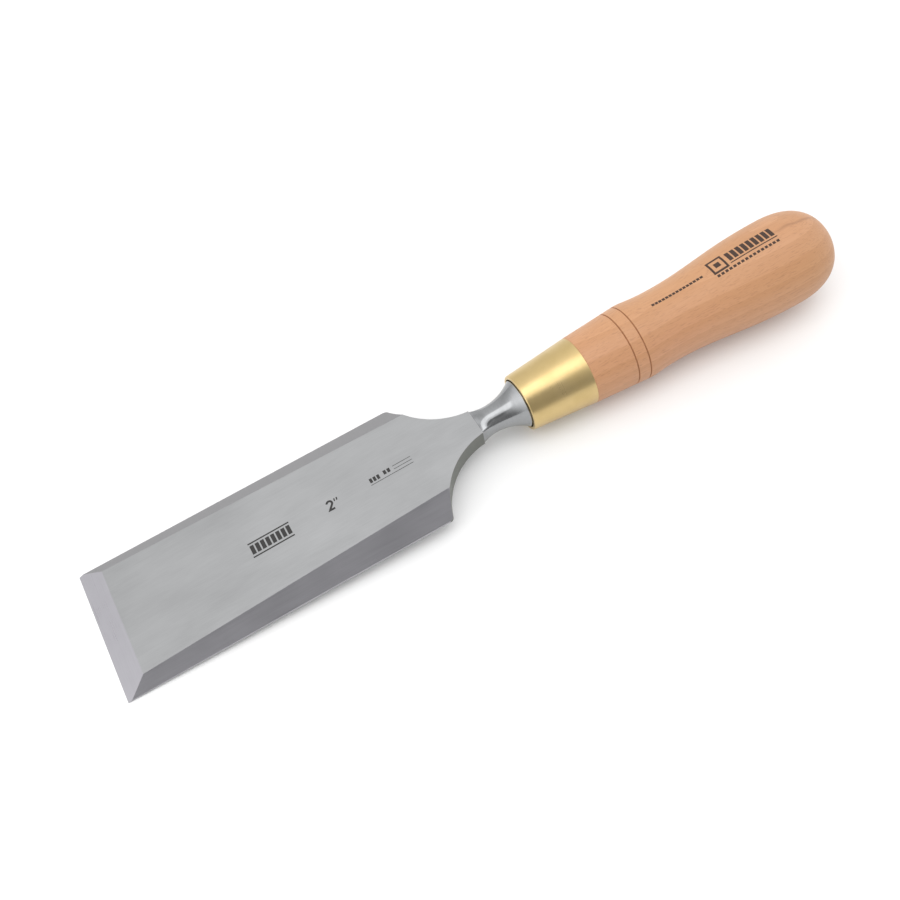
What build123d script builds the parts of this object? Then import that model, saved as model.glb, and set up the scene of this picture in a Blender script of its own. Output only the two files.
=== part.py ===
from build123d import *
import math
import os

# Two-inch bench chisel: a forged and ground steel blade, a brass ferrule and a turned handle.
# Millimetres. Everything is drawn in the tool's own frame first: the flat back of the blade is
# on Z = 0, the middle of the cutting edge is at the origin, and the handle's axis runs along +X
# at handle_axis_height. At the end the tool is tipped into the attitude it lies in on a bench,
# on its cutting edge and the swell of its handle, with the origin under the middle of its box.

# ---- Blade ----
blade_width = 50.8             # nominal two inches, across the parallel sides
blade_length = 119.5           # cutting edge to the shoulder corners
tip_thickness = 3.75           # height of the top face's plane above the cutting edge
shoulder_thickness = 6.7       # height of the same plane at the shoulder corners
bevel_angle = 25.0             # primary bevel, from the flat back
side_bevel_angle = 35.0        # side bevels, from the flat back
side_land_tip = 0.75           # height of the upright side land at the cutting edge
side_land_shoulder = 0.95      # and at the shoulder corners
corner_round = 1.8             # plan radius of the shoulder corners

# ---- Shoulders, neck and bolster ----
sweep_length = 26.5            # shoulder corners to where the sweeps run parallel to the axis
sweep_end_width = 10.0         # width across the neck there
flat_runout = 3.0              # the ground top face stops this far before the sweeps end
flat_end_round = 0.9           # edge radius of the neck where it starts
neck_distance = 2.5            # end of the sweeps to the thinnest place of the round neck
neck_radius = 5.0              # at its thinnest
flare_radius = 19.0            # concave arc from the thinnest place out to the bolster
mouth_gap = 0.4                # on the radius, bolster's rim to the ferrule's bore at the mouth
bolster_length = 4.6           # straight rim behind the flare, to the seat on the wood

# ---- Tang ----
tang_length = 62.0             # from the bolster's seat to the tang's end
tang_base = 7.0                # square, at the bolster
tang_tip = 3.6                 # square, at its end
tang_clearance = 0.05          # on each side, tang to its socket in the wood
pilot_extra = 6.0              # the pilot hole runs on this far past the tang

# ---- Ferrule ----
mouth_depth = 4.3              # the bolster's seat lies this far inside the ferrule's mouth
ferrule_length = 24.4
ferrule_front_radius = 10.5    # outside
ferrule_rear_radius = 12.75    # outside, flush with the wood behind it
ferrule_wall = 1.2
ferrule_clearance = 0.02       # on the radius, ferrule to the wooden spigot
ferrule_edge_round = 0.5       # outer edge of the mouth

# ---- Handle: lengths run from the ferrule's rear edge ----
handle_axis_height = 3.9       # above the flat back
cone_slope = 0.07              # radius gained per millimetre on the cone behind the ferrule
cone_length = 21.5
roll_over = 3.0                # the cone's hold on the curve at its end; more turns later
waist_length = 13.0            # end of the cone to the thinnest place of the grip
waist_radius = 13.55
waist_hold = 0.38              # how long the waist stays thin, as a share of the way to the bulb
swell_length = 50.3            # waist to the thickest place of the grip
bulb_radius = 16.95
bulb_hold = 0.46               # how long the bulb stays thick, as a share of the way back
butt_length = 20.0             # thickest place to the end of the butt
butt_fullness = 0.67           # 0.55 gives an elliptical butt, 1 a square one
line_distances = (16.1, 20.8)  # the two scored lines
line_width = 0.55              # half the width of the scoring tool's cut
line_depth = 0.35

# ---- Worked out from the sizes above ----
face_slope = (shoulder_thickness - tip_thickness) / blade_length
bevel_run = tip_thickness / (math.tan(math.radians(bevel_angle)) - face_slope)
sweep_end = blade_length + sweep_length
flat_end = sweep_end - flat_runout
flat_end_thickness = tip_thickness + face_slope * flat_end
neck_station = sweep_end + neck_distance
bolster_radius = ferrule_front_radius - ferrule_wall - mouth_gap
flare_run = math.sqrt(flare_radius ** 2 - (flare_radius + neck_radius - bolster_radius) ** 2)
flare_end = neck_station + flare_run
seat_station = flare_end + bolster_length
ferrule_front = seat_station - mouth_depth
ferrule_rear = ferrule_front + ferrule_length
ferrule_slope = (ferrule_rear_radius - ferrule_front_radius) / ferrule_length
cone_end = ferrule_rear + cone_length
waist_station = cone_end + waist_length
bulb_station = waist_station + swell_length
handle_end = bulb_station + butt_length
handle_axis = Axis((0, 0, handle_axis_height), (1, 0, 0))


def cone_radius(station):
    """Radius of the plain cone of wood behind the ferrule."""
    return ferrule_rear_radius + cone_slope * (station - ferrule_rear)


def spigot_radius(station):
    """Radius of the wooden spigot under the ferrule, which follows the ferrule's bore."""
    outside = ferrule_front_radius + ferrule_slope * (station - ferrule_front)
    return outside - ferrule_wall - ferrule_clearance


def at_radius(station, radius):
    """A point of a turned profile, in the upright plane through the handle's axis."""
    return Vector(station, 0, handle_axis_height + radius)


def section_plane(station):
    """A plane square to the handle's axis, with its local x across the tool."""
    return Plane((station, 0, handle_axis_height), x_dir=(0, 1, 0), z_dir=(1, 0, 0))


def ground_blade():
    """The wedge of the blade: plan outline, side profile and the two side bevels."""
    half_width = blade_width / 2
    half_neck = sweep_end_width / 2
    tip_low, tip_high = (0, -half_width), (0, half_width)
    corner_low, corner_high = (blade_length, -half_width), (blade_length, half_width)
    neck_low, neck_high = (sweep_end, -half_neck), (sweep_end, half_neck)
    outline = make_face([
        Line(tip_low, corner_low),
        TangentArc(neck_low, corner_low, tangent=(-1, 0)),
        Line(neck_low, neck_high),
        TangentArc(neck_high, corner_high, tangent=(-1, 0)),
        Line(corner_high, tip_high),
        Line(tip_high, tip_low),
    ])
    corners = [v for v in outline.vertices() if abs(v.X - blade_length) < 0.01]
    outline = fillet(corners, corner_round)
    slab = extrude(outline, amount=2 * shoulder_thickness)
    profile = make_face(Polyline(
        (0, 0, 0),
        (flat_end, 0, 0),
        (flat_end, 0, flat_end_thickness),
        (bevel_run, 0, tip_thickness + face_slope * bevel_run),
        close=True,
    ))
    blade = slab & extrude(profile, amount=blade_width, both=True)
    return blade - side_bevel_cutter(1) - side_bevel_cutter(-1)


def side_bevel_cutter(side):
    """Everything above one side bevel: a block standing on the bevel's plane."""
    land_start = Vector(0, side * blade_width / 2, side_land_tip)
    land_end = Vector(blade_length, side * blade_width / 2, side_land_shoulder)
    along = (land_end - land_start).normalized()
    angle = math.radians(side_bevel_angle)
    inward = Vector(0, -side * math.cos(angle), math.sin(angle))
    outward = inward.cross(along) * side
    reach = 2 * blade_length
    return Plane(land_start, x_dir=along, z_dir=outward) * Box(
        reach, blade_width, blade_width, align=(Align.CENTER, Align.CENTER, Align.MIN))


def neck():
    """Squarish where the ground face stops, then turned: the thinnest place, the flare and the rim."""
    start = Plane((flat_end, 0, flat_end_thickness / 2), x_dir=(0, 1, 0), z_dir=(1, 0, 0))
    squarish = start * RectangleRounded(2 * sweep_half_width(flat_end), flat_end_thickness, flat_end_round)
    turned = make_face([
        Line(at_radius(neck_station, 0), at_radius(neck_station, neck_radius)),
        TangentArc(at_radius(neck_station, neck_radius), at_radius(flare_end, bolster_radius),
                   tangent=(1, 0, 0)),
        Line(at_radius(flare_end, bolster_radius), at_radius(seat_station, bolster_radius)),
        Line(at_radius(seat_station, bolster_radius), at_radius(seat_station, 0)),
        Line(at_radius(seat_station, 0), at_radius(neck_station, 0)),
    ])
    blend = loft([squarish, section_plane(neck_station) * Circle(neck_radius)])
    return blend + revolve(turned, handle_axis)


def sweep_half_width(station):
    """Half width of the shoulder sweep near the neck; the sweep is one arc, parallel at its end."""
    drop = (blade_width - sweep_end_width) / 2
    run = sweep_end - blade_length
    radius = (run ** 2 + drop ** 2) / (2 * drop)
    return sweep_end_width / 2 + radius - math.sqrt(radius ** 2 - (sweep_end - station) ** 2)


def tapered_square(start, base, end, tip):
    """A square taper along the handle's axis, for the tang and for its socket."""
    return loft([section_plane(start) * Rectangle(base, base), section_plane(end) * Rectangle(tip, tip)])


def make_blade():
    """One forging: blade, neck, bolster and tang."""
    tang = tapered_square(seat_station, tang_base, seat_station + tang_length, tang_tip)
    return ground_blade() + neck() + tang


def make_ferrule():
    """A plain conical tube of even wall, its mouth edge broken."""
    inner_front = at_radius(ferrule_front, ferrule_front_radius - ferrule_wall)
    outer_front = at_radius(ferrule_front, ferrule_front_radius)
    outer_rear = at_radius(ferrule_rear, ferrule_rear_radius)
    inner_rear = at_radius(ferrule_rear, ferrule_rear_radius - ferrule_wall)
    ring = make_face(Polyline(inner_front, outer_front, outer_rear, inner_rear, close=True))
    ferrule = revolve(ring, handle_axis)
    mouth = ferrule.edges().filter_by(GeomType.CIRCLE).sort_by(Axis.X)[0:2].sort_by(SortBy.LENGTH)[-1]
    return fillet(mouth, ferrule_edge_round)


def grip_curves():
    """The turned outline from the ferrule to the butt, as a list of edges."""
    rear = at_radius(ferrule_rear, ferrule_rear_radius)
    cone_top = at_radius(cone_end, cone_radius(cone_end))
    waist = at_radius(waist_station, waist_radius)
    bulb = at_radius(bulb_station, bulb_radius)
    butt = at_radius(handle_end, 0)
    ahead = Vector(1, 0, 0)
    return [
        Line(rear, cone_top),
        Bezier(cone_top, cone_top + Vector(1, 0, cone_slope) * roll_over, waist - ahead * (waist_length / 2), waist),
        Bezier(waist, waist + ahead * (waist_hold * swell_length),
               bulb - ahead * (bulb_hold * swell_length), bulb),
        Bezier(bulb, bulb + ahead * (butt_fullness * butt_length),
               butt + Vector(0, 0, butt_fullness * bulb_radius), butt),
    ]


def make_handle():
    """The turned handle: spigot, cone with two scored lines, waist, bulb and domed butt."""
    seat_centre = at_radius(seat_station, 0)
    spigot_front = at_radius(seat_station, spigot_radius(seat_station))
    spigot_rear = at_radius(ferrule_rear, spigot_radius(ferrule_rear))
    step = at_radius(ferrule_rear, ferrule_rear_radius)
    grip = grip_curves()
    profile = make_face([
        Line(seat_centre, spigot_front),
        Line(spigot_front, spigot_rear),
        Line(spigot_rear, step),
        *grip,
        Line(grip[-1] @ 1, seat_centre),
    ])
    handle = revolve(profile, handle_axis)
    for distance in line_distances:
        station = ferrule_rear + distance
        surface = cone_radius(station)
        cut = make_face(Polyline(
            at_radius(station - line_width, surface + line_depth),
            at_radius(station + line_width, surface + line_depth),
            at_radius(station, surface - line_depth),
            close=True,
        ))
        handle -= revolve(cut, handle_axis)
    opening = 2 * tang_clearance
    tang_end = seat_station + tang_length
    handle -= tapered_square(seat_station, tang_base + opening, tang_end, tang_tip + opening)
    pilot = section_plane(tang_end) * Cylinder(
        (tang_tip + opening) / 2, pilot_extra, align=(Align.CENTER, Align.CENTER, Align.MIN))
    return handle - pilot


def turned_points():
    """Points all along the underside of the handle, measured from the tool's own origin."""
    steps = 400
    upper = [curve @ (i / steps) for curve in grip_curves() for i in range(steps + 1)]
    return [Vector(p.X, 0, 2 * handle_axis_height - p.Z) for p in upper]


def main():
    nodes = {"blade": make_blade(), "ferrule": make_ferrule(), "handle": make_handle()}
    underside = turned_points()
    # The cutting edge and the swell of the handle both touch the bench at this tip.
    tip = max(math.atan2(-p.Z, p.X) for p in underside)
    # The edge is the lowest X of the tipped tool, and the butt reaches furthest the other way.
    reach = max(p.X * math.cos(tip) - p.Z * math.sin(tip) for p in underside)
    lying = Pos(-reach / 2, 0, 0) * Rot(0, -math.degrees(tip), 0)
    os.makedirs("parts", exist_ok=True)
    for name, shape in nodes.items():
        export_step(lying * shape, f"parts/{name}.step")
    print("lies tipped by", round(math.degrees(tip), 4), "degrees, reach", round(reach, 3))


main()
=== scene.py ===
import math

import bmesh
import bpy
from mathutils import Matrix, Vector


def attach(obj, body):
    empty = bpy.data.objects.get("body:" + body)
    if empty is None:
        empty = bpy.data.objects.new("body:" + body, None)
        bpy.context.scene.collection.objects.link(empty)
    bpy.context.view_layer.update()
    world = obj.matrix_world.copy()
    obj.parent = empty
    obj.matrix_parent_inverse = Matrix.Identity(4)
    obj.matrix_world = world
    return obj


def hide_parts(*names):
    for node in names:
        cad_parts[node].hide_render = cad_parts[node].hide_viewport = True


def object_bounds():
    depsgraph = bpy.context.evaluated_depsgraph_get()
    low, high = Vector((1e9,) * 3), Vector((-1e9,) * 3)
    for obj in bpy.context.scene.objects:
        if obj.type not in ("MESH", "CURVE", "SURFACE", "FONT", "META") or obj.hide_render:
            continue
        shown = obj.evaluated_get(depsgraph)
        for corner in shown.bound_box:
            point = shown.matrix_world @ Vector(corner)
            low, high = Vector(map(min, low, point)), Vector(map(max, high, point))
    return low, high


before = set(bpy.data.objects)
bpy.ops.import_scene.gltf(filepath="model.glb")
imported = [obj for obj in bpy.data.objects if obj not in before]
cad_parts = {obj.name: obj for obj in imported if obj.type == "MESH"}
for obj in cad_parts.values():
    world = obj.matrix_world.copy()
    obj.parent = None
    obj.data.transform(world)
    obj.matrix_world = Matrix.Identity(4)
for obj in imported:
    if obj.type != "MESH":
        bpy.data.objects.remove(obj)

# A two-inch bench chisel on a white table. Pieces are drawn in the tool's own frame, as in the
# CAD: X from the cutting edge to the butt, the flat back on Z = 0, Y across. Their meshes are
# then laid down into the shared frame, and the materials turn its coordinates back again.
CAD_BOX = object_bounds()
MM = 0.001

# ---- Sizes in millimetres, the same as in the CAD ----
TIP_ANGLE = math.radians(2.8751)      # how far the tool is tipped where it lies
AXIS_HEIGHT = 3.9                     # the handle's axis above the flat back
BLADE_LENGTH = 119.5                  # to the shoulder corners
TIP_THICKNESS = 3.75                  # top face above the cutting edge
SHOULDER_THICKNESS = 6.7
FACE_SLOPE = (SHOULDER_THICKNESS - TIP_THICKNESS) / BLADE_LENGTH
HALF_WIDTH = 25.4
BEVEL_ANGLE = math.radians(25)
SIDE_BEVEL_ANGLE = math.radians(35)
LAND_TIP = 0.75                       # upright side land, at the edge and at the shoulders
LAND_SHOULDER = 0.95
LAND_SLOPE = (LAND_SHOULDER - LAND_TIP) / BLADE_LENGTH
CORNER_ROUND = 1.8
SWEEP_END = 146.0                     # where the shoulders' sweeps would run out
SWEEP_END_HALF_WIDTH = 5.0
FLAT_END = 143.0                      # where the ground face stops at the neck
FLAT_END_ROUND = 0.9                  # round on the neck's corners there
NECK_STATION = 148.5                  # where the neck is round and thinnest
NECK_RADIUS = 5.0
FLARE_RADIUS = 19.0                   # of the hollow curve from neck to bolster
FLARE_END = 160.032
BOLSTER_RADIUS = 8.9
BOLSTER_CHAMFER = 0.15
EDGE_BREAK = 0.12
TANG_HALF = (3.5, 1.8)                # half the square tang, at its base and at its end
FERRULE_FRONT = 160.332
FERRULE_REAR = 184.732
FERRULE_FRONT_RADIUS = 10.5
FERRULE_REAR_RADIUS = 12.75
FERRULE_WALL = 1.2
SEAT = 164.632                        # where the bolster sits on the wood
MOUTH_ROUND = 0.6                     # the ferrule's rounds: outer front edge, inner front edge,
MOUTH_INNER_ROUND = 0.2               # and outer and inner rear edges
REAR_ROUND = 0.12
REAR_INNER_ROUND = 0.1
SPIGOT_GAP = 0.02
TANG_LENGTH = 62.0
SOCKET_RADIUS = (5.1, 2.75)           # clears the square tang, at its base and at its end
SOCKET_TIP = (6.0, 1.9)               # the drill's point: length past the tang, and radius
CONE_END = 206.232                    # the grip behind the ferrule widens evenly up to here
CONE_SLOPE = 0.07
ROLL_OVER = 3.0                       # how far the cone's direction carries into the waist
WAIST = (219.232, 13.55)              # station and radius
BULB = (269.532, 16.95)
WAIST_HOLD = 0.38                     # shares of the swell that stay near the waist's and
BULB_HOLD = 0.46                      # the bulb's radius
BUTT = 289.532
BUTT_FULLNESS = 0.67
SCORED_LINES = (200.832, 205.532)
LINE_HALF_WIDTH = 0.32
LINE_DEPTH = 0.35
SCORCHED_HALF_WIDTH = 0.26            # the darkened bottom of a line
TURNING_STEPS = 192                   # faces around a turned piece

LOWEST_X = CAD_BOX[0][0]
LYING = Matrix.Translation((LOWEST_X, 0, 0)) @ Matrix.Rotation(-TIP_ANGLE, 4, "Y")
TOUCHING = 1e-7                       # metres; points nearer than this are the same


# ---- Steels: colour, then lowest and highest roughness ----
GROUND_FACE = ((0.40, 0.404, 0.41), 0.30, 0.42)
# Painted reflection: the primary bevel's slight violet tint.
GROUND_BEVEL = ((0.345, 0.338, 0.362), 0.25, 0.36)
GROUND_FLANK = ((0.42, 0.415, 0.442), 0.28, 0.40)
# Painted shade: the far side bevel's steel is the near one's, painted darker.
SHADED_FAR_FLANK = ((0.275, 0.272, 0.28), 0.28, 0.40)      # a little darker, as photographed
FORGED_SIDE = ((0.20, 0.206, 0.188), 0.38, 0.50)
POLISHED_NECK = ((0.35, 0.357, 0.365), 0.14, 0.20)
# Painted shade: the polished neck darkens to this colour towards its bottom.
SHADED_UNDERSIDE = (0.24, 0.245, 0.225)

# Scale of a steel's pattern per axis: small along the grinding lines, large across them.
LINES_ALONG = (0.05, 4.0, 4.0)
LINES_ACROSS = (4.0, 0.05, 4.0)
LINES_AROUND = (3.0, 0.3, 0.3)
FORGED_SKIN = (0.3, 0.3, 1.5)

# ---- Brass, wood and marks ----
BRASS = (0.66, 0.50, 0.245)
DULL_BRASS = (0.59, 0.44, 0.20)
PINK_BEECH = (0.575, 0.287, 0.16)
TAN_BEECH = (0.545, 0.285, 0.138)
AMBER_BEECH = (0.46, 0.222, 0.095)
BEECH_FLECK = (0.36, 0.17, 0.08)
BEECH_STREAK = (0.30, 0.135, 0.06)
STREAK_FROM_TOP = 2.6                 # the streak's place, away from the grip's top line
SCORCHED_WOOD = (0.42, 0.19, 0.085)
ETCHED_MARK = (0.02, 0.019, 0.018)
BURNT_MARK = (0.05, 0.024, 0.014)


# ---- Studio: the tent's brightness by the Y of its direction, from the camera's side back, ----
# ---- and a factor by its X, from the blade's end to the butt's ----
TENT_ACROSS = ((-0.95, 0.36), (-0.8, 0.45), (-0.65, 0.72), (-0.45, 1.05), (-0.2, 1.4), (0.0, 1.45),
               (0.3, 1.3), (0.5, 1.12), (0.85, 1.0), (0.98, 0.95))
TENT_ALONG = ((-0.85, 1.35), (-0.68, 1.3), (-0.5, 0.9), (-0.3, 0.82), (-0.1, 0.98), (0.2, 1.02))
TENT_OPENING = (-0.06, -0.52, 0.85)   # on the camera's side, where the tent is open
OPENING_LEVEL = 0.4
OPENING_ANGLES = (24, 7)              # where it starts to darken, and where it is darkest
SOFTBOX_SIZE = (1.2, 0.75)            # metres
SOFTBOX_PLACE = (-0.15, -0.14, 1.0)
SOFTBOX_WATTS = 3.0
TABLE_HALF_SIZE = 12.0                # metres
TABLE_WHITE = 0.82
TABLE_GLOW = 0.08
VIEW_ANGLES = (-20.98, 58.08, -9.29)  # azimuth from -Y, elevation and roll, in degrees
VIEW_PLACE = (-82.31, -180.86, 316.31)              # millimetres, in the shared frame
VIEW_LENS = 42.0


# ---- Mesh helpers ----
def piece_from_mesh(name, mesh, materials):
    """A finished piece: laid down in the shared frame, shaded smooth, riding on the root."""
    mesh.transform(LYING)
    obj = bpy.data.objects.new(name, mesh)
    bpy.context.scene.collection.objects.link(obj)
    for material in materials:
        mesh.materials.append(material)
    for polygon in mesh.polygons:
        polygon.use_smooth = True
    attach(obj, "root")
    return obj


def tool_station(polygon):
    """How far along the tool a finished piece's face lies, in millimetres."""
    return (LYING.inverted() @ polygon.center).x / MM


def mesh_from_bmesh(name, bm):
    bmesh.ops.recalc_face_normals(bm, faces=bm.faces)
    mesh = bpy.data.meshes.new(name)
    bm.to_mesh(mesh)
    bm.free()
    return mesh


def lathe(name, profile, closed):
    """A surface of revolution about the handle's axis. The profile is (station, radius) in mm.
    A closed profile is a ring; an open one starts and ends on the axis."""
    steps = TURNING_STEPS
    bm = bmesh.new()
    rings = []
    for station, radius in profile:
        if radius < 1e-6:
            rings.append([bm.verts.new(Vector((station, 0, AXIS_HEIGHT)) * MM)])
            continue
        ring = []
        for step in range(steps):
            angle = math.tau * step / steps
            height = AXIS_HEIGHT + radius * math.cos(angle)
            place = Vector((station, radius * math.sin(angle), height))
            ring.append(bm.verts.new(place * MM))
        rings.append(ring)
    pairs = list(zip(rings, rings[1:]))
    if closed:
        pairs.append((rings[-1], rings[0]))
    for low, high in pairs:
        for step in range(steps):
            after = (step + 1) % steps
            corners = [low[step % len(low)], low[after % len(low)],
                       high[after % len(high)], high[step % len(high)]]
            corners = list(dict.fromkeys(corners))
            bm.faces.new(corners)
    return mesh_from_bmesh(name, bm)


def bezier(start, hold_start, hold_end, end, steps):
    """Points along a cubic curve from start to end, pulled towards the two holds."""
    points = []
    for i in range(steps + 1):
        t = i / steps
        weights = ((1 - t) ** 3, 3 * t * (1 - t) ** 2, 3 * t * t * (1 - t), t ** 3)
        corners = (start, hold_start, hold_end, end)
        points.append(tuple(sum(w * c[axis] for w, c in zip(weights, corners)) for axis in (0, 1)))
    return points


def rounded(profile, corner, size, steps):
    """The profile with one corner replaced by a small round."""
    before, at, after = (Vector(profile[(corner + k) % len(profile)]) for k in (-1, 0, 1))
    first = at + (before - at).normalized() * size
    last = at + (after - at).normalized() * size
    curve = []
    for i in range(steps + 1):
        t = i / steps
        curve.append(tuple(first * (1 - t) ** 2 + at * (2 * t * (1 - t)) + last * t * t))
    return profile[:corner] + curve + profile[corner + 1:]


# ---- Material helpers ----
class Nodes:
    """Short names for the nodes of one material."""

    def __init__(self, name):
        self.material = bpy.data.materials.new(name)
        self.material.use_nodes = True
        self.tree = self.material.node_tree
        self.shader = self.tree.nodes["Principled BSDF"]
        row = self.tree.nodes.new("ShaderNodeTexCoord").outputs["Object"]
        tool = self.tree.nodes.new("ShaderNodeMapping")
        tool.inputs["Scale"].default_value = (1 / MM, 1 / MM, 1 / MM)
        tool.inputs["Rotation"].default_value = (0, TIP_ANGLE, 0)
        tool.inputs["Location"].default_value = LYING.inverted().translation / MM
        self.link(row, tool.inputs["Vector"])
        self.coordinates = tool.outputs["Vector"]

    def link(self, source, target):
        self.tree.links.new(source, target)

    def stretched(self, scale, place=(13.7, 5.3, 9.1)):
        """Tool-frame coordinates in millimetres, scaled per axis. The place keeps the pattern's
        own origin off the object."""
        node = self.tree.nodes.new("ShaderNodeMapping")
        node.inputs["Scale"].default_value = scale
        node.inputs["Location"].default_value = place
        self.link(self.coordinates, node.inputs["Vector"])
        return node.outputs["Vector"]

    def noise(self, vector, detail=2.0, roughness=0.5):
        node = self.tree.nodes.new("ShaderNodeTexNoise")
        node.inputs["Scale"].default_value = 1.0
        node.inputs["Detail"].default_value = detail
        node.inputs["Roughness"].default_value = roughness
        self.link(vector, node.inputs["Vector"])
        return node.outputs["Fac"]

    def rings(self, vector, scale, distortion, detail_scale):
        node = self.tree.nodes.new("ShaderNodeTexWave")
        node.wave_type = "RINGS"
        node.rings_direction = "X"
        node.wave_profile = "SAW"
        node.inputs["Scale"].default_value = scale
        node.inputs["Distortion"].default_value = distortion
        node.inputs["Detail"].default_value = 2.0
        node.inputs["Detail Scale"].default_value = detail_scale
        self.link(vector, node.inputs["Vector"])
        return node.outputs["Fac"]

    def ramp(self, source, low, high, low_value=0.0, high_value=1.0):
        """Maps low to high onto low_value to high_value, clamped."""
        node = self.tree.nodes.new("ShaderNodeMapRange")
        for name, value in (("From Min", low), ("From Max", high),
                            ("To Min", low_value), ("To Max", high_value)):
            node.inputs[name].default_value = value
        self.link(source, node.inputs["Value"])
        return node.outputs["Result"]

    def maths(self, operation, first, second):
        node = self.tree.nodes.new("ShaderNodeMath")
        node.operation = operation
        for socket, value in zip(node.inputs, (first, second)):
            if isinstance(value, (int, float)):
                socket.default_value = value
            else:
                self.link(value, socket)
        return node.outputs["Value"]

    def mix(self, factor, first, second):
        """A colour between two, each a colour or a node's output, by a node's output."""
        node = self.tree.nodes.new("ShaderNodeMix")
        node.data_type = "RGBA"
        sockets = {socket.identifier: socket for socket in node.inputs}
        self.link(factor, sockets["Factor_Float"])
        for identifier, value in (("A_Color", first), ("B_Color", second)):
            if isinstance(value, tuple):
                sockets[identifier].default_value = (*value, 1)
            else:
                self.link(value, sockets[identifier])
        return next(o for o in node.outputs if o.identifier == "Result_Color")

    def axis(self, name):
        """One tool-frame coordinate, in millimetres."""
        node = self.tree.nodes.new("ShaderNodeSeparateXYZ")
        self.link(self.coordinates, node.inputs["Vector"])
        return node.outputs[name]

    def bump(self, height, distance):
        """Bump of the given depth, in millimetres."""
        node = self.tree.nodes.new("ShaderNodeBump")
        node.inputs["Strength"].default_value = 1.0
        node.inputs["Distance"].default_value = distance * MM
        self.link(height, node.inputs["Height"])
        self.link(node.outputs["Normal"], self.shader.inputs["Normal"])

    def constants(self, **values):
        """Sets the shader's own sockets."""
        for name, value in values.items():
            self.shader.inputs[name.replace("_", " ")].default_value = value


def steel(name, finish, grind, relief, underside=None):
    """Steel with fine lines of the given relief in millimetres. The underside's colour, if
    given, is painted shade, blended in towards the bottom."""
    colour, rough_low, rough_high = finish
    n = Nodes(name)
    n.constants(Metallic=1.0)
    lines = n.noise(n.stretched(grind), 3.0, 0.65)
    clouds = n.noise(n.stretched((0.03, 0.06, 0.06)), 3.0, 0.55)
    shade = tuple(c * 0.86 for c in colour)
    tone = n.maths("ADD", n.maths("MULTIPLY", lines, 0.45), n.maths("MULTIPLY", clouds, 0.55))
    surface = n.mix(n.ramp(tone, 0.35, 0.65), shade, colour)
    if underside:
        # Painted shade: towards the bottom the steel turns to the underside's colour.
        surface = n.mix(n.ramp(n.axis("Z"), -0.5, 3.2, 1.0, 0.0), surface, underside)
    n.link(surface, n.shader.inputs["Base Color"])
    n.link(n.ramp(tone, 0.3, 0.7, rough_low, rough_high), n.shader.inputs["Roughness"])
    n.bump(lines, relief)
    return n.material


def brass():
    """Satin brass with fine turning rings and patches of tarnish."""
    n = Nodes("satin_brass")
    n.constants(Metallic=1.0)
    turned = n.noise(n.stretched((4.0, 0.12, 0.12)), 4.0, 0.7)
    clouds = n.noise(n.stretched((0.12, 0.15, 0.15)), 3.0, 0.55)
    tarnish = n.ramp(clouds, 0.3, 0.75)
    tone = n.mix(tarnish, BRASS, DULL_BRASS)
    n.link(tone, n.shader.inputs["Base Color"])
    turned_rough = n.ramp(turned, 0.3, 0.7, 0.25, 0.33)
    clouded_rough = n.ramp(clouds, 0.3, 0.7, 0.0, 0.06)
    n.link(n.maths("ADD", turned_rough, clouded_rough), n.shader.inputs["Roughness"])
    n.bump(turned, 0.003)
    return n.material


def beech():
    """Turned beech: growth rings, fibres and short dark flecks along the grip."""
    n = Nodes("turned_beech")
    n.constants(IOR=1.5, Coat_Weight=0.12, Coat_Roughness=0.4)
    warp = n.noise(n.stretched((0.008, 0.02, 0.02)))
    rings = n.rings(n.stretched((0.12, 1.0, 1.0), (0.0, 35.0, 60.0)), 0.07, 2.2, 0.4)
    fibres = n.noise(n.stretched((0.05, 1.9, 1.9)), 4.0, 0.65)
    flecks = n.noise(n.stretched((0.32, 3.4, 3.4)), 1.0)
    tone = n.mix(n.ramp(warp, 0.35, 0.65), PINK_BEECH, TAN_BEECH)
    tone = n.mix(n.ramp(rings, 0.0, 1.0, 0.0, 0.5), tone, AMBER_BEECH)
    tone = n.mix(n.ramp(fibres, 0.42, 0.66, 0.0, 0.35), tone, AMBER_BEECH)
    tone = n.mix(n.ramp(flecks, 0.58, 0.70, 0.0, 0.55), tone, BEECH_FLECK)
    tone = n.mix(mineral_streak(n), tone, BEECH_STREAK)
    n.link(tone, n.shader.inputs["Base Color"])
    n.link(n.ramp(fibres, 0.3, 0.7, 0.42, 0.56), n.shader.inputs["Roughness"])
    n.bump(fibres, 0.03)
    return n.material


def mineral_streak(n):
    """How strong the wood's one dark streak is, along the top of the grip to the butt."""
    wander = n.maths("MULTIPLY", n.noise(n.stretched((0.12, 0.1, 0.1))), 3.0)
    across = n.maths("SUBTRACT", n.maths("ADD", n.axis("Y"), wander), STREAK_FROM_TOP)
    aside = n.maths("ABSOLUTE", across, 0)
    streak = n.maths("MULTIPLY", n.ramp(aside, 0.15, 0.9, 0.55, 0.0), n.ramp(n.axis("X"), 262, 272))
    streak = n.maths("MULTIPLY", streak, n.ramp(n.axis("X"), 281, 288, 1.0, 0.0))
    return n.maths("MULTIPLY", streak, n.ramp(n.axis("Z"), 8, 14))


def plain(name, colour, rough):
    """Etched, burnt or scorched marks: one colour, broken up a little."""
    n = Nodes(name)
    grain = n.noise(n.stretched((1.0, 2.5, 2.5)), 3.0, 0.6)
    shade = tuple(c * 0.8 for c in colour)
    n.link(n.mix(n.ramp(grain, 0.35, 0.65), shade, colour), n.shader.inputs["Base Color"])
    n.link(n.ramp(grain, 0.3, 0.7, rough, rough + 0.1), n.shader.inputs["Roughness"])
    return n.material


# ---- Blade ----
SWEEP_RUN = SWEEP_END - BLADE_LENGTH
SWEEP_DROP = HALF_WIDTH - SWEEP_END_HALF_WIDTH
SWEEP_RADIUS = (SWEEP_RUN ** 2 + SWEEP_DROP ** 2) / (2 * SWEEP_DROP)
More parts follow.
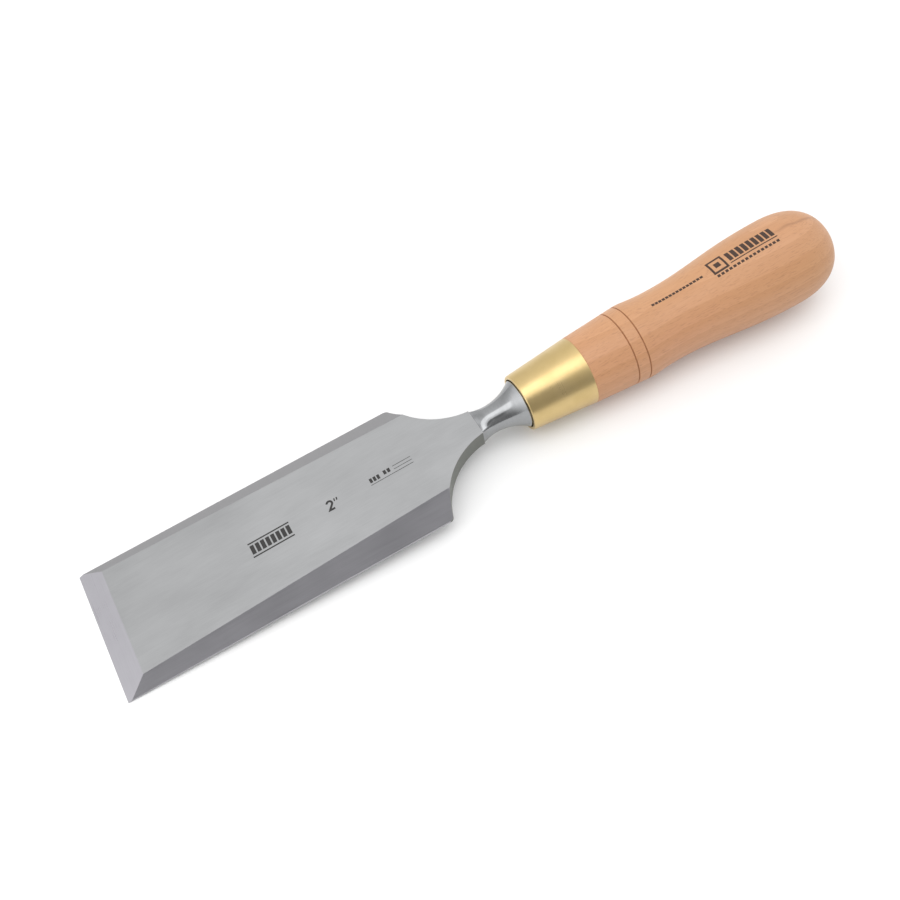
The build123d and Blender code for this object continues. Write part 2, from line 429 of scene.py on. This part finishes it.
# Centre of the shoulder corner's round, and where it meets the side and the sweep.
ROUND_Y = HALF_WIDTH - CORNER_ROUND
SWEEP_Y = SWEEP_END_HALF_WIDTH + SWEEP_RADIUS
ROUND_X = SWEEP_END - math.sqrt((SWEEP_RADIUS + CORNER_ROUND) ** 2 - (SWEEP_Y - ROUND_Y) ** 2)
ROUND_END = ROUND_X + CORNER_ROUND * (SWEEP_END - ROUND_X) / (SWEEP_RADIUS + CORNER_ROUND)


def face_height(station):
    """The ground top face, as if the primary bevel weren't there."""
    return TIP_THICKNESS + FACE_SLOPE * station


def half_width(station):
    """Parallel sides, the shoulder corner's round, then the sweep in to the neck."""
    if station <= ROUND_X:
        return HALF_WIDTH
    if station <= ROUND_END:
        return ROUND_Y + math.sqrt(CORNER_ROUND ** 2 - (station - ROUND_X) ** 2)
    return SWEEP_Y - math.sqrt(SWEEP_RADIUS ** 2 - (SWEEP_END - station) ** 2)


def blade_section(station):
    """Half of the blade's section: foot, top of the upright side, edge of the top face."""
    width = half_width(station)
    top = min(face_height(station), station * math.tan(BEVEL_ANGLE))
    land = LAND_TIP + LAND_SLOPE * station
    side = min(top, land + (HALF_WIDTH - width) * math.tan(SIDE_BEVEL_ANGLE))
    inner = min(width, HALF_WIDTH - max(0, top - land) / math.tan(SIDE_BEVEL_ANGLE))
    return (width, 0), (width, side), (inner, top)


def blade_stations():
    """Stations at every change of surface, and closely along the curved parts."""
    land_full = LAND_TIP / (math.tan(BEVEL_ANGLE) - LAND_SLOPE)
    bevel_run = TIP_THICKNESS / (math.tan(BEVEL_ANGLE) - FACE_SLOPE)
    stations = [0, land_full, bevel_run]
    round_steps = 8
    for i in range(round_steps + 1):
        turn = math.pi / 2 * i / round_steps
        stations.append(ROUND_X + (ROUND_END - ROUND_X) * math.sin(turn))
    meeting = flank_end()
    steps = 40
    sweep = [ROUND_END + (FLAT_END - ROUND_END) * (i / steps) ** 1.4 for i in range(1, steps)]
    stations += [s for s in sweep if abs(s - meeting) > 0.15] + [meeting]
    return sorted(stations)


def flank_end():
    """Where the side bevel runs out on the sweep, found by halving."""
    low, high = ROUND_END, FLAT_END
    for _ in range(40):
        meeting = (low + high) / 2
        foot, side, inner = blade_section(meeting)
        low, high = (meeting, high) if inner[0] < side[0] - 1e-9 else (low, meeting)
    return meeting


def neck_corners(half_across, half_up, size, count):
    """A rounded rectangle about its centre, as (outline point, point on the sharp rectangle)."""
    points = []
    for quarter in range(4):
        turn = quarter * math.pi / 2
        signs = (1 if quarter in (0, 3) else -1, 1 if quarter in (0, 1) else -1)
        centre = (signs[0] * (half_across - size), signs[1] * (half_up - size))
        for i in range(count + 1):
            angle = turn + math.pi / 2 * i / count
            out = (math.cos(angle), math.sin(angle))
            reach = 1 / max(abs(out[0]), abs(out[1]))
            soft = tuple(c + size * o for c, o in zip(centre, out))
            sharp = tuple(c + size * o * reach for c, o in zip(centre, out))
            points.append((soft, sharp))
        points += neck_side(points[-1], quarter, half_across, half_up, size)
    return points


def neck_side(last, quarter, half_across, half_up, size):
    """Points along the straight side that follows one corner of the neck."""
    steps = 12
    turn = (quarter + 1) * math.pi / 2
    along = (-math.sin(turn), math.cos(turn))
    length = 2 * ((half_across if quarter % 2 == 0 else half_up) - size)
    start = last[0]
    side = []
    for i in range(1, steps):
        point = tuple(s + a * length * i / steps for s, a in zip(start, along))
        side.append((point, point))
    return side


def blend_loops(first, last):
    """From the ground blade's end to the round neck, changing quickly and then slowly."""
    loops = []
    steps = 12
    for i in range(1, steps + 1):
        share = i / steps
        eased = 1 - (1 - share) ** 2
        blended = [a.lerp(b, eased) for a, b in zip(first, last)]
        for point in blended:
            point.x = FLAT_END + (NECK_STATION - FLAT_END) * share
        loops.append(blended)
    return loops


def neck_loops():
    """The sharp end of the ground blade, then the neck, flare, bolster and tang."""
    half_across, half_up = half_width(FLAT_END), face_height(FLAT_END) / 2
    outline = neck_corners(half_across, half_up, FLAT_END_ROUND, 8)
    angles = [math.atan2(soft[1], soft[0]) for soft, sharp in outline]

    def loop(station, height, points):
        return [Vector((station, y, height + z)) for y, z in points]

    def circle(radius):
        return [(radius * math.cos(angle), radius * math.sin(angle)) for angle in angles]

    def square(half):
        reach = [half / max(abs(math.cos(angle)), abs(math.sin(angle))) for angle in angles]
        return [(r * math.cos(angle), r * math.sin(angle)) for r, angle in zip(reach, angles)]

    loops = [loop(FLAT_END, half_up, [sharp for soft, sharp in outline]),
             loop(FLAT_END, half_up, [soft for soft, sharp in outline])]
    loops += blend_loops(loops[1], loop(NECK_STATION, AXIS_HEIGHT, circle(NECK_RADIUS)))
    flare_steps = 24
    for i in range(1, flare_steps + 1):
        station = NECK_STATION + (FLARE_END - NECK_STATION) * i / flare_steps
        rise = FLARE_RADIUS - math.sqrt(FLARE_RADIUS ** 2 - (station - NECK_STATION) ** 2)
        loops.append(loop(station, AXIS_HEIGHT, circle(NECK_RADIUS + rise)))
    loops.append(loop(SEAT - BOLSTER_CHAMFER, AXIS_HEIGHT, circle(BOLSTER_RADIUS)))
    loops.append(loop(SEAT, AXIS_HEIGHT, circle(BOLSTER_RADIUS - BOLSTER_CHAMFER)))
    loops.append(loop(SEAT, AXIS_HEIGHT, square(TANG_HALF[0])))
    loops.append(loop(SEAT + TANG_LENGTH, AXIS_HEIGHT, square(TANG_HALF[1])))
    return loops


def join_loops(bm, loops):
    """Quads between loops of as many points each."""
    rings = [[bm.verts.new(point * MM) for point in loop] for loop in loops]
    count = len(rings[0])
    for low, high in zip(rings, rings[1:]):
        for i in range(count):
            after = (i + 1) % count
            bm.faces.new((low[i], low[after], high[after], high[i]))
    return rings


def blade_loops():
    """The ground blade's six-point sections, from the edge to its last station."""
    loops = []
    for station in blade_stations():
        half = blade_section(station)
        right = [Vector((station, -y, z)) for y, z in half]
        left = [Vector((station, y, z)) for y, z in reversed(half)]
        loops.append(right + left)
    return loops


def join_blade_to_neck(bm, last, ring):
    """Four many-sided faces from the last six-point section to the neck's first ring."""
    top = face_height(FLAT_END) * MM - TOUCHING
    half_end = half_width(FLAT_END) * MM - TOUCHING
    sides = ((0, 2, lambda v: v.co.y < -half_end), (2, 3, lambda v: v.co.z > top),
             (3, 5, lambda v: v.co.y > half_end), (5, 0, lambda v: v.co.z < TOUCHING))
    for low, high, on_side in sides:
        start = last[low].co
        side = [v for v in ring if on_side(v)]
        side.sort(key=lambda v: (v.co - start).length)
        bm.faces.new([last[low]] + side + [last[high]])


def blade_mesh():
    """Ground blade, neck, bolster and tang as one closed surface."""
    bm = bmesh.new()
    sections = join_loops(bm, blade_loops())
    rings = join_loops(bm, neck_loops())
    bm.faces.new(rings[-1])
    join_blade_to_neck(bm, sections[-1], rings[0])
    bmesh.ops.remove_doubles(bm, verts=bm.verts, dist=TOUCHING)
    bmesh.ops.dissolve_degenerate(bm, edges=bm.edges, dist=TOUCHING)
    return mesh_from_bmesh("blade_forging", bm)


def break_edges(obj, width):
    """A small round on every sharp edge, with the flat faces kept flat."""
    bevel = obj.modifiers.new("broken_edges", "BEVEL")
    bevel.width = width * MM
    bevel.segments = 2
    bevel.limit_method = "ANGLE"
    bevel.angle_limit = math.radians(13)
    normals = obj.modifiers.new("flat_faces", "WEIGHTED_NORMAL")
    normals.keep_sharp = True


def steel_of(polygon):
    """Which of make_blade's steels a face of the blade has, by where it is and where it faces."""
    station = tool_station(polygon)
    tilted = 0.2
    near_edge = 20
    if station > FLAT_END + 0.01:
        return 1
    if polygon.normal.x < -tilted and station < near_edge:
        return 2
    if abs(polygon.normal.z) < tilted and station > ROUND_X:
        return 3
    # A side bevel facing away gets steel 5, painted darker as shade.
    if abs(polygon.normal.y) > tilted:
        return 4 if polygon.normal.y < 0 else 5
    return 0


def make_blade():
    """One forging, with a steel for each kind of surface; the far side bevel's steel is painted
    darker as shade.
    """
    mesh = blade_mesh()
    steels = (steel("ground_face", GROUND_FACE, LINES_ALONG, 0.003),
              steel("polished_neck", POLISHED_NECK, LINES_AROUND, 0.001, SHADED_UNDERSIDE),
              steel("ground_bevel", GROUND_BEVEL, LINES_ACROSS, 0.003),
              steel("forged_side", FORGED_SIDE, FORGED_SKIN, 0.01),
              steel("ground_flank", GROUND_FLANK, LINES_ALONG, 0.003),
              steel("far_flank_painted_shade", SHADED_FAR_FLANK, LINES_ALONG, 0.003))
    obj = piece_from_mesh("blade_forging", mesh, steels)
    for polygon in mesh.polygons:
        polygon.material_index = steel_of(polygon)
    break_edges(obj, EDGE_BREAK)
    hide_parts("blade")


# ---- Ferrule and handle ----
def make_ferrule():
    """A tapered tube with its four edges rounded."""
    profile = [(FERRULE_FRONT, FERRULE_FRONT_RADIUS - FERRULE_WALL),
               (FERRULE_FRONT, FERRULE_FRONT_RADIUS),
               (FERRULE_REAR, FERRULE_REAR_RADIUS),
               (FERRULE_REAR, FERRULE_REAR_RADIUS - FERRULE_WALL)]
    profile = rounded(profile, 3, REAR_INNER_ROUND, 2)
    profile = rounded(profile, 2, REAR_ROUND, 3)
    profile = rounded(profile, 1, MOUTH_ROUND, 8)
    profile = rounded(profile, 0, MOUTH_INNER_ROUND, 3)
    mesh = lathe("ferrule_tube", profile, True)
    obj = piece_from_mesh("ferrule_tube", mesh, (brass(),))
    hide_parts("ferrule")


def cone_radius(station):
    """Radius of the cone behind the ferrule, with the two scored lines cut in it."""
    radius = FERRULE_REAR_RADIUS + CONE_SLOPE * (station - FERRULE_REAR)
    for line in SCORED_LINES:
        away = abs(station - line) / LINE_HALF_WIDTH
        if away < 1:
            radius -= LINE_DEPTH * (0.5 + 0.5 * math.cos(math.pi * away))
    return radius


def to_nearest_line(station):
    """Distance to the nearer scored line."""
    return min(abs(station - line) for line in SCORED_LINES)


def spigot_profile():
    """The socket's end, the socket, its mouth, the spigot and the shoulder at the ferrule."""
    bore = FERRULE_FRONT_RADIUS - FERRULE_WALL - SPIGOT_GAP
    slope = (FERRULE_REAR_RADIUS - FERRULE_FRONT_RADIUS) / (FERRULE_REAR - FERRULE_FRONT)
    tang_end = SEAT + TANG_LENGTH
    chamfer = 0.1
    return [(tang_end + SOCKET_TIP[0], 0),
            (tang_end + SOCKET_TIP[0], SOCKET_TIP[1]),
            (tang_end, SOCKET_RADIUS[1]),
            (SEAT, SOCKET_RADIUS[0]),
            (SEAT, bore + slope * (SEAT - FERRULE_FRONT)),
            (FERRULE_REAR, bore + slope * (FERRULE_REAR - FERRULE_FRONT)),
            (FERRULE_REAR, FERRULE_REAR_RADIUS - chamfer),
            (FERRULE_REAR + chamfer, FERRULE_REAR_RADIUS)]


def cone_profile():
    """The cone up to its end, in fine steps at the scored lines."""
    coarse, fine = 0.6, 0.06
    cone = []
    station = FERRULE_REAR + coarse
    while station < CONE_END - 0.05:
        cone.append((station, cone_radius(station)))
        station += fine if to_nearest_line(station) < 0.7 else coarse
    return cone


def grip_profile():
    """From the cone's end over the waist, the swell and the bulb, to the butt."""
    cone_top = (CONE_END, FERRULE_REAR_RADIUS + CONE_SLOPE * (CONE_END - FERRULE_REAR))
    rolled = (cone_top[0] + ROLL_OVER, cone_top[1] + CONE_SLOPE * ROLL_OVER)
    waist = bezier(cone_top, rolled, (WAIST[0] - (WAIST[0] - CONE_END) / 2, WAIST[1]), WAIST, 24)
    swell = BULB[0] - WAIST[0]
    bulb = bezier(WAIST, (WAIST[0] + WAIST_HOLD * swell, WAIST[1]),
                  (BULB[0] - BULB_HOLD * swell, BULB[1]), BULB, 48)
    butt = bezier(BULB, (BULB[0] + BUTT_FULLNESS * (BUTT - BULB[0]), BULB[1]),
                  (BUTT, BUTT_FULLNESS * BULB[1]), (BUTT, 0), 40)
    return waist + bulb[1:] + butt[1:]


def make_handle():
    """Turned wood: from the socket's end, out over the spigot and the grip, to the butt."""
    mesh = lathe("turned_handle", spigot_profile() + cone_profile() + grip_profile(), False)
    scorched = plain("scorched_line", SCORCHED_WOOD, 0.6)
    obj = piece_from_mesh("turned_handle", mesh, (beech(), scorched))
    for polygon in mesh.polygons:
        if to_nearest_line(tool_station(polygon)) < SCORCHED_HALF_WIDTH:
            polygon.material_index = 1
    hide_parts("handle")


# ---- Generic marks, thin shapes let into the surface ----
# A mark's points are (station, distance across), in millimetres on the surface.
MARK_RISE = 0.02
MARK_DEPTH = 0.06


def on_blade(station, across, lift):
    """A place on the ground top face."""
    return Vector((station, across, face_height(station) + lift)) * MM


def grip_surface_radius(station):
    """Radius of the grip at a station, read off the turned profile."""
    outline = grip_profile()
    for (low, low_radius), (high, high_radius) in zip(outline, outline[1:]):
        if low <= station <= high:
            return low_radius + (high_radius - low_radius) * (station - low) / (high - low)
    return outline[-1][1]


def on_handle(station, around, lift):
    """A place on the grip; around is the distance from its top line towards the camera."""
    radius = grip_surface_radius(station)
    angle = around / radius
    reach = radius + lift
    return Vector((station, -reach * math.sin(angle), AXIS_HEIGHT + reach * math.cos(angle))) * MM


def divided(points, closed):
    """The same line with no gap between its points longer than the spacing."""
    spacing = 0.8
    pairs = list(zip(points, points[1:] + points[:1])) if closed else list(zip(points, points[1:]))
    line = []
    for start, end in pairs:
        gap = math.dist(start, end)
        steps = max(1, math.ceil(gap / spacing))
        for i in range(steps):
            line.append(tuple(a + (b - a) * i / steps for a, b in zip(start, end)))
    return line if closed else line + [points[-1]]


def stroke(bm, surface, points, width, closed=False):
    """A line of even width laid on a surface, as one closed solid."""
    line = divided(points, closed)
    count = len(line)
    rows = []
    for i, (u, v) in enumerate(line):
        before = line[i - 1] if i or closed else line[i]
        after = line[(i + 1) % count] if i + 1 < count or closed else line[i]
        first = Vector((u - before[0], v - before[1]))
        second = Vector((after[0] - u, after[1] - v))
        first = first.normalized() if first.length else second.normalized()
        second = second.normalized() if second.length else first
        across = Vector((-(first.y + second.y), first.x + second.x)).normalized()
        across *= width / 2 / max(0.5, abs(across.dot(Vector((-first.y, first.x)))))
        row = []
        for side, lift in ((1, MARK_RISE), (-1, MARK_RISE), (-1, -MARK_DEPTH), (1, -MARK_DEPTH)):
            row.append(bm.verts.new(surface(u + side * across.x, v + side * across.y, lift)))
        rows.append(row)
    pairs = list(zip(rows, rows[1:])) + ([(rows[-1], rows[0])] if closed else [])
    for low, high in pairs:
        for k in range(4):
            bm.faces.new((low[k], low[(k + 1) % 4], high[(k + 1) % 4], high[k]))
    if not closed:
        bm.faces.new(rows[0])
        bm.faces.new(rows[-1])


def bars(bm, surface, start, end, low, high, count, width):
    """A row of bars between two stations, each from low to high across."""
    for i in range(count):
        station = start + (end - start) * (i + 0.5) / count
        stroke(bm, surface, [(station, low), (station, high)], width)


def marks_piece(name, bm, material):
    """A finished mark with flat faces, riding with the rest."""
    mesh = mesh_from_bmesh(name, bm)
    piece_from_mesh(name, mesh, (material,))
    for polygon in mesh.polygons:
        polygon.use_smooth = False


def make_bar_mark(etched):
    """Bars between two rules, in place of the large printed mark on the blade."""
    bm = bmesh.new()
    start, end = 55.6, 71.0
    bars(bm, on_blade, start, end, -2.6, 0.9, 8, 1.4)
    for across in (-3.6, 1.8):
        stroke(bm, on_blade, [(start, across), (end, across)], 0.5)
    marks_piece("blade_bar_mark", bm, etched)


def make_size_mark(etched):
    """The blade's width in inches: a figure 2 and the inch ticks, reading towards the handle."""
    bm = bmesh.new()
    radius = 0.95
    centre = (85.95, 0.15)
    bowl = []
    for i in range(13):
        angle = math.radians(165 - i * 17)
        bowl.append((centre[0] + radius * math.cos(angle), centre[1] + radius * math.sin(angle)))
    foot = [(85.0, -2.3), (87.0, -2.3)]
    stroke(bm, on_blade, bowl + foot, 0.75)
    for station in (88.1, 89.0):
        stroke(bm, on_blade, [(station, 1.2), (station - 0.2, 0.1)], 0.45)
    marks_piece("blade_size_mark", bm, etched)


def make_grade_mark(etched):
    """Short bars and hairlines, in place of the small print on the blade."""
    bm = bmesh.new()
    bars(bm, on_blade, 101.2, 105.4, -0.9, 0.9, 3, 1.0)
    bars(bm, on_blade, 106.6, 109.6, -0.5, 1.1, 2, 1.05)
    for start, across in ((101.2, -1.7), (110.6, 0.9), (110.6, -0.4)):
        stroke(bm, on_blade, [(start, across), (117.6, across)], 0.18)
    marks_piece("blade_grade_mark", bm, etched)


def make_handle_marks(burnt):
    """A square in a square, bars and rules, in place of the print on the handle."""
    bm = bmesh.new()
    corners = [(240.4, -4.6), (245.8, -4.6), (245.8, 0.9), (240.4, 0.9)]
    stroke(bm, on_handle, corners, 0.8, closed=True)
    stroke(bm, on_handle, [(243.1, -2.9), (243.1, -0.8)], 2.2)
    start, end = 247.2, 266.6
    bars(bm, on_handle, start, end, -4.4, -0.4, 9, 1.55)
    stroke(bm, on_handle, [(start, 0.45), (end, 0.45)], 0.4)
    marks_piece("handle_bar_mark", bm, burnt)

    bm = bmesh.new()
    bars(bm, on_handle, 240.2, 266.4, 1.75, 2.75, 16, 1.1)
    marks_piece("handle_dotted_rule", bm, burnt)

    bm = bmesh.new()
    bars(bm, on_handle, 215.2, 236.6, -1.45, -0.5, 15, 1.1)
    marks_piece("handle_long_rule", bm, burnt)


# ---- Table, light and camera ----
def make_table():
    """A large white table top at height 0, where the chisel lies."""
    bm = bmesh.new()
    corners = []
    for x, y in ((-1, -1), (1, -1), (1, 1), (-1, 1)):
        corners.append(bm.verts.new((x * TABLE_HALF_SIZE, y * TABLE_HALF_SIZE, 0)))
    bm.faces.new(corners)
    mesh = mesh_from_bmesh("table_top", bm)
    obj = bpy.data.objects.new("table_top", mesh)
    bpy.context.scene.collection.objects.link(obj)
    table = Nodes("white_table")
    table.constants(Base_Color=(TABLE_WHITE, TABLE_WHITE, TABLE_WHITE, 1), Roughness=0.7,
                    Emission_Color=(1, 1, 1, 1), Emission_Strength=TABLE_GLOW)
    mesh.materials.append(table.material)


def level_ramp(tree, source, levels):
    """Brightness along -1 to 1, in straight runs between the given levels, up to 2."""
    scale = 2.0
    unit = tree.nodes.new("ShaderNodeMapRange")
    unit.inputs["From Min"].default_value = -1.0
    tree.links.new(source, unit.inputs["Value"])
    ramp = tree.nodes.new("ShaderNodeValToRGB")
    stops = ramp.color_ramp.elements
    for place, level in levels:
        stop = stops.new((place + 1) / 2)
        stop.color = (level / scale, level / scale, level / scale, 1)
    # The ramp's own first and last stops, at its ends, repeat the levels next to them.
    stops[0].color = stops[1].color
    stops[len(stops) - 1].color = stops[len(stops) - 2].color
    tree.links.new(unit.outputs["Result"], ramp.inputs["Fac"])
    return product(tree, ramp.outputs["Color"], scale)


def product(tree, first, second):
    """Two values multiplied, each a number or a node's output."""
    node = tree.nodes.new("ShaderNodeMath")
    node.operation = "MULTIPLY"
    for socket, value in zip(node.inputs, (first, second)):
        if isinstance(value, float):
            socket.default_value = value
        else:
            tree.links.new(value, socket)
    return node.outputs["Value"]


def opening_level(tree, direction):
    """1 over most of the tent, falling to the opening's level at its middle."""
    towards = tree.nodes.new("ShaderNodeVectorMath")
    towards.operation = "DOT_PRODUCT"
    towards.inputs[1].default_value = Vector(TENT_OPENING).normalized()
    tree.links.new(direction, towards.inputs[0])
    opening = tree.nodes.new("ShaderNodeMapRange")
    opening.interpolation_type = "SMOOTHSTEP"
    for name, angle in zip(("From Min", "From Max"), OPENING_ANGLES):
        opening.inputs[name].default_value = math.cos(math.radians(angle))
    opening.inputs["To Min"].default_value = 1.0
    opening.inputs["To Max"].default_value = OPENING_LEVEL
    tree.links.new(towards.outputs["Value"], opening.inputs["Value"])
    return opening.outputs["Result"]


def make_tent():
    """A white tent all round that is open, and so darker, on the camera's side."""
    world = bpy.data.worlds.new("studio_tent")
    bpy.context.scene.world = world
    world.use_nodes = True
    tree = world.node_tree
    direction = tree.nodes.new("ShaderNodeTexCoord").outputs["Generated"]
    split = tree.nodes.new("ShaderNodeSeparateXYZ")
    tree.links.new(direction, split.inputs["Vector"])
    across = level_ramp(tree, split.outputs["Y"], TENT_ACROSS)
    along = level_ramp(tree, split.outputs["X"], TENT_ALONG)
    strength = product(tree, product(tree, across, along), opening_level(tree, direction))
    background = tree.nodes["Background"]
    background.inputs["Color"].default_value = (1, 1, 1, 1)
    tree.links.new(strength, background.inputs["Strength"])


def make_softbox():
    """A soft light above, pointing straight down."""
    softbox = bpy.data.lights.new("softbox_above", "AREA")
    softbox.shape = "RECTANGLE"
    softbox.size, softbox.size_y = SOFTBOX_SIZE
    softbox.energy = SOFTBOX_WATTS
    obj = bpy.data.objects.new("softbox_above", softbox)
    bpy.context.scene.collection.objects.link(obj)
    obj.location = SOFTBOX_PLACE


def make_camera():
    """The photograph's view."""
    azimuth, elevation, roll = (math.radians(angle) for angle in VIEW_ANGLES)
    back = Vector((math.sin(azimuth) * math.cos(elevation),
                   -math.cos(azimuth) * math.cos(elevation), math.sin(elevation)))
    level = (-back).cross(Vector((0, 0, 1))).normalized()
    right = level * math.cos(roll) + level.cross(-back) * math.sin(roll)
    up = right.cross(-back)
    data = bpy.data.cameras.new("photo_view")
    data.lens = VIEW_LENS
    data.sensor_width = 36.0
    data.clip_start = 0.01
    obj = bpy.data.objects.new("photo_view", data)
    bpy.context.scene.collection.objects.link(obj)
    rotation = Matrix((right, up, back)).transposed().to_4x4()
    obj.matrix_world = Matrix.Translation(Vector(VIEW_PLACE) * MM) @ rotation
    bpy.context.scene.camera = obj


make_blade()
make_ferrule()
make_handle()
etched_mark = plain("etched_mark", ETCHED_MARK, 0.5)
make_bar_mark(etched_mark)
make_size_mark(etched_mark)
make_grade_mark(etched_mark)
make_handle_marks(plain("burnt_mark", BURNT_MARK, 0.6))
make_table()
make_tent()
make_softbox()
make_camera()
bpy.context.scene.view_settings.view_transform = "Standard"
